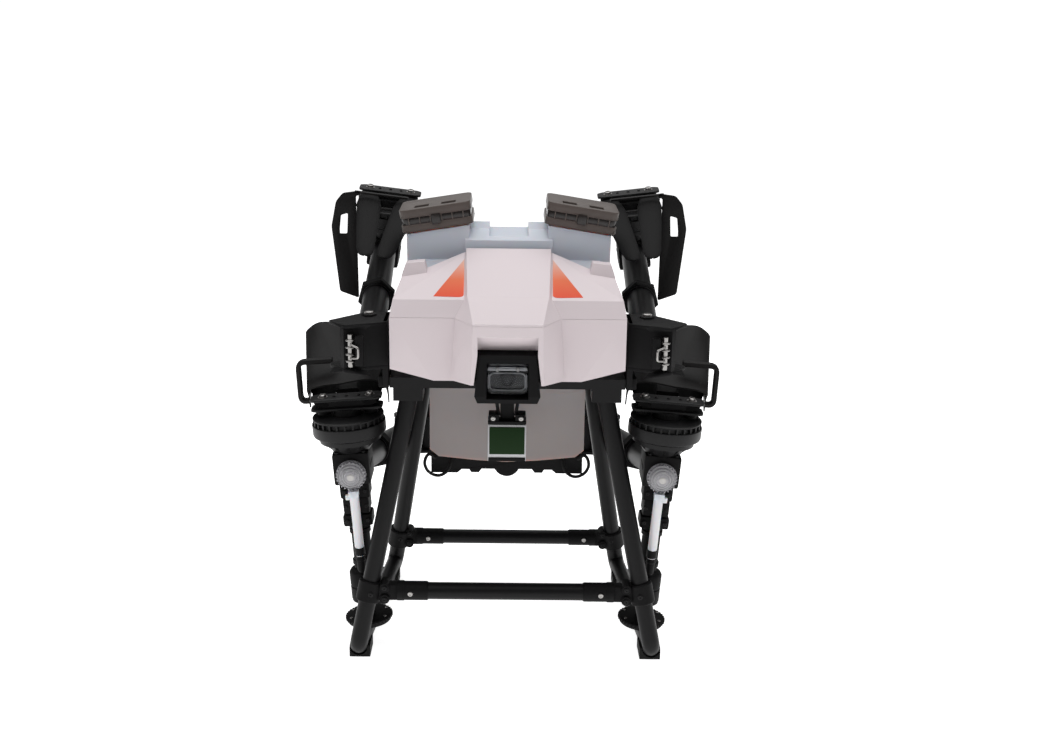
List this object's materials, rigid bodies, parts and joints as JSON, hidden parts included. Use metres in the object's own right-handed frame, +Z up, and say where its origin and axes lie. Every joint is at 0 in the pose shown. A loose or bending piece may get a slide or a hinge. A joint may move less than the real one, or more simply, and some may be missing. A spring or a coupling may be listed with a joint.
{
  "type": "agricultural spray drone",
  "caption": "Folded agricultural spray drone with faceted hood, translucent tank with filler lids, tube landing frame, folding arms, stowed blades and hanging atomisers.",
  "frame": {"origin": "on the ground, under the middle of the folded machine's bounding box", "axes": "+Z up, -Y the way the drone faces, +X the drone's own left side"},
  "size_m": [0.7846, 0.7691, 0.8144],
  "materials": {
    "hood": "satin white moulded shell",
    "tank": "translucent blow-moulded plastic",
    "lid": "smoky translucent plastic",
    "carbon": "satin black carbon fibre tube and plate",
    "plastic": "moulded, fine texture",
    "rubber": "matt",
    "alloy": "black anodised",
    "steel": "turned screws and latch parts",
    "radar": "green antenna panel",
    "clear": "clear polycarbonate",
    "hose": "translucent white hose",
    "orange": "printed gradient panel"
  },
  "bodies": {
    "airframe": {"main_frame": "carbon", "upper_cover": "hood", "front_cover": "hood", "spray_tank": "tank", "camera_housing": "plastic", "camera_window": "clear", "radar_bracket": "plastic", "radar_module": "radar", "flight_controller": "plastic", "pump_module": "plastic", "battery_tray": "alloy", "cross_bar_front": "carbon", "cross_bar_rear": "carbon", "landing_frame_left": "carbon", "foot_pad_front_left": "rubber", "foot_pad_rear_left": "rubber", "arm_socket_front_left": "plastic", "arm_socket_rear_left": "plastic", "cable_loop_left": "rubber", "landing_frame_right": "carbon", "foot_pad_front_right": "rubber", "foot_pad_rear_right": "rubber", "arm_socket_front_right": "plastic", "arm_socket_rear_right": "plastic", "cable_loop_right": "rubber"},
    "lid_left": {"tank_lid_left": "lid"},
    "lid_right": {"tank_lid_right": "lid"},
    "battery_pack": {"battery": "plastic"},
    "upper_arm_left_body": {"arm_upper_left": "carbon", "motor_base_upper_left": "alloy"},
    "upper_rotor_left_body": {"rotor_upper_left": "alloy", "blade_upper_inner_left": "carbon", "blade_upper_outer_left": "carbon", "blade_holder_upper_left": "plastic"},
    "upper_arm_right_body": {"arm_upper_right": "carbon", "motor_base_upper_right": "alloy"},
    "upper_rotor_right_body": {"rotor_upper_right": "alloy", "blade_upper_inner_right": "carbon", "blade_upper_outer_right": "carbon", "blade_holder_upper_right": "plastic"},
    "lower_arm_left_body": {"arm_lower_left": "carbon", "motor_base_lower_left": "alloy", "spray_strut_left": "plastic", "flow_sensor_left": "clear", "spray_hose_left": "hose"},
    "lower_rotor_left_body": {"rotor_lower_left": "alloy", "blade_lower_inner_left": "carbon", "blade_lower_outer_left": "carbon", "blade_holder_lower_left": "plastic"},
    "lower_arm_right_body": {"arm_lower_right": "carbon", "motor_base_lower_right": "alloy", "spray_strut_right": "plastic", "flow_sensor_right": "clear", "spray_hose_right": "hose"},
    "lower_rotor_right_body": {"rotor_lower_right": "alloy", "blade_lower_inner_right": "carbon", "blade_lower_outer_right": "carbon", "blade_holder_lower_right": "plastic"},
    "atomiser_left_body": {"atomiser_disc_left": "plastic"},
    "atomiser_right_body": {"atomiser_disc_right": "plastic"}
  },
  "joints": [
    {"name": "lid_left_hinge", "type": "hinge", "parent": "airframe", "child": "lid_left", "pos_m": [0.13013, 0.049, 0.76455], "axis": [-0.9877, 0, 0.1564], "range_deg": [0, 85]},
    {"name": "lid_right_hinge", "type": "hinge", "parent": "airframe", "child": "lid_right", "pos_m": [-0.13013, 0.049, 0.76455], "axis": [-0.9877, 0, -0.1564], "range_deg": [0, 85]},
    {"name": "battery_slide", "type": "slide", "parent": "airframe", "child": "battery_pack", "axis": [0, 1, 0], "range_m": [0, 0.25]},
    {"name": "upper_arm_left_fold", "type": "hinge", "parent": "airframe", "child": "upper_arm_left_body", "pos_m": [0.24, -0.2545, 0.598], "axis": [0, 0, -1], "range_deg": [0, 125]},
    {"name": "upper_rotor_left_turn", "type": "hinge", "parent": "upper_arm_left_body", "child": "upper_rotor_left_body", "pos_m": [0.25103, 0.31539, 0.74375], "axis": [-0.1219, -0.1124, 0.9862], "range_deg": [0, 100]},
    {"name": "upper_arm_right_fold", "type": "hinge", "parent": "airframe", "child": "upper_arm_right_body", "pos_m": [-0.24, -0.2545, 0.598], "axis": [0, 0, 1], "range_deg": [0, 125]},
    {"name": "upper_rotor_right_turn", "type": "hinge", "parent": "upper_arm_right_body", "child": "upper_rotor_right_body", "pos_m": [-0.25103, 0.31539, 0.74375], "axis": [-0.1219, 0.1124, -0.9862], "range_deg": [0, 100]},
    {"name": "lower_arm_left_fold", "type": "hinge", "parent": "airframe", "child": "lower_arm_left_body", "pos_m": [0.214, 0.2355, 0.275], "axis": [0, 0, 1], "range_deg": [0, 130]},
    {"name": "lower_rotor_left_turn", "type": "hinge", "parent": "lower_arm_left_body", "child": "lower_rotor_left_body", "pos_m": [0.28506, -0.20485, 0.44469], "axis": [-0.0785, 0.0261, -0.9966], "range_deg": [0, 100]},
    {"name": "lower_arm_right_fold", "type": "hinge", "parent": "airframe", "child": "lower_arm_right_body", "pos_m": [-0.214, 0.2355, 0.275], "axis": [0, 0, -1], "range_deg": [0, 130]},
    {"name": "lower_rotor_right_turn", "type": "hinge", "parent": "lower_arm_right_body", "child": "lower_rotor_right_body", "pos_m": [-0.28506, -0.20485, 0.44469], "axis": [-0.0785, -0.0261, 0.9966], "range_deg": [0, 100]},
    {"name": "atomiser_left_spin", "type": "hinge", "parent": "lower_arm_left_body", "child": "atomiser_left_body", "pos_m": [0.25407, -0.19454, 0.05104], "axis": [0.0785, -0.0261, 0.9966], "continuous": true},
    {"name": "atomiser_right_spin", "type": "hinge", "parent": "lower_arm_right_body", "child": "atomiser_right_body", "pos_m": [-0.25407, -0.19454, 0.05104], "axis": [-0.0785, -0.0261, 0.9966], "continuous": true}
  ]
}
